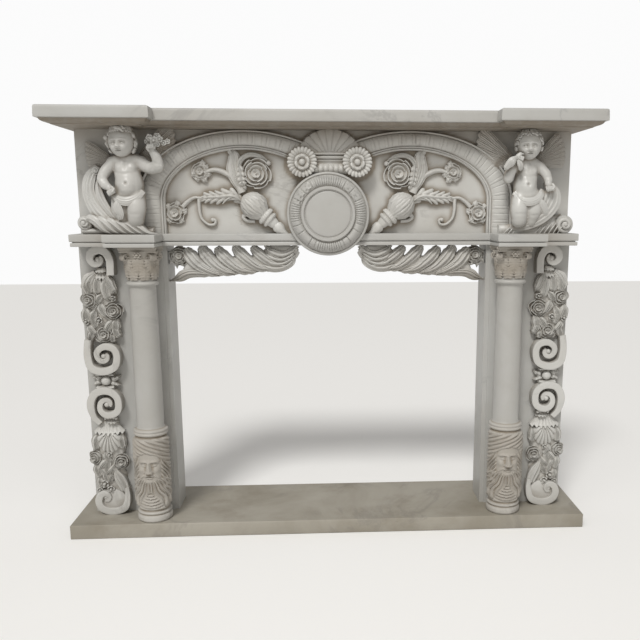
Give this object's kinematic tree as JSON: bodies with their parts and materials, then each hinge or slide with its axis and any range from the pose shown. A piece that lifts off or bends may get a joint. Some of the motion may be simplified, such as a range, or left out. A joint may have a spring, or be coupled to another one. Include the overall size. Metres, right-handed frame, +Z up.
{
  "type": "carved marble fireplace mantel",
  "caption": "Carved white marble fireplace surround with columns, a pierced leafy header, an arched frieze, cherubs, a stepped shelf and a hearth slab.",
  "frame": {"origin": "centre of the underside of the hearth slab's and shelf's common box", "axes": "+X to the right seen from the front, front faces -Y, +Z up"},
  "size_m": [1.566, 0.35, 1.25],
  "materials": {
    "plain_marble": "honed white-grey marble with faint grey veins",
    "carved_marble": "carved off-white marble, honed, brown dust in the hollows",
    "figure_marble": "smooth half-polished white marble",
    "hearth_marble": "worn grey-beige marble with stains"
  },
  "bodies": {
    "root": {"hearth_slab": "hearth_marble", "left_leg": "plain_marble", "right_leg": "plain_marble", "left_garland": "carved_marble", "right_garland": "carved_marble", "left_column_pedestal": "carved_marble", "right_column_pedestal": "carved_marble", "left_column_shaft": "plain_marble", "right_column_shaft": "plain_marble", "left_column_capital": "carved_marble", "right_column_capital": "carved_marble", "left_leaf_bracket": "carved_marble", "right_leaf_bracket": "carved_marble", "ledge": "plain_marble", "frieze": "carved_marble", "medallion": "carved_marble", "left_cherub": "figure_marble", "right_cherub": "figure_marble", "mantel_shelf": "plain_marble"}
  },
  "joints": []
}
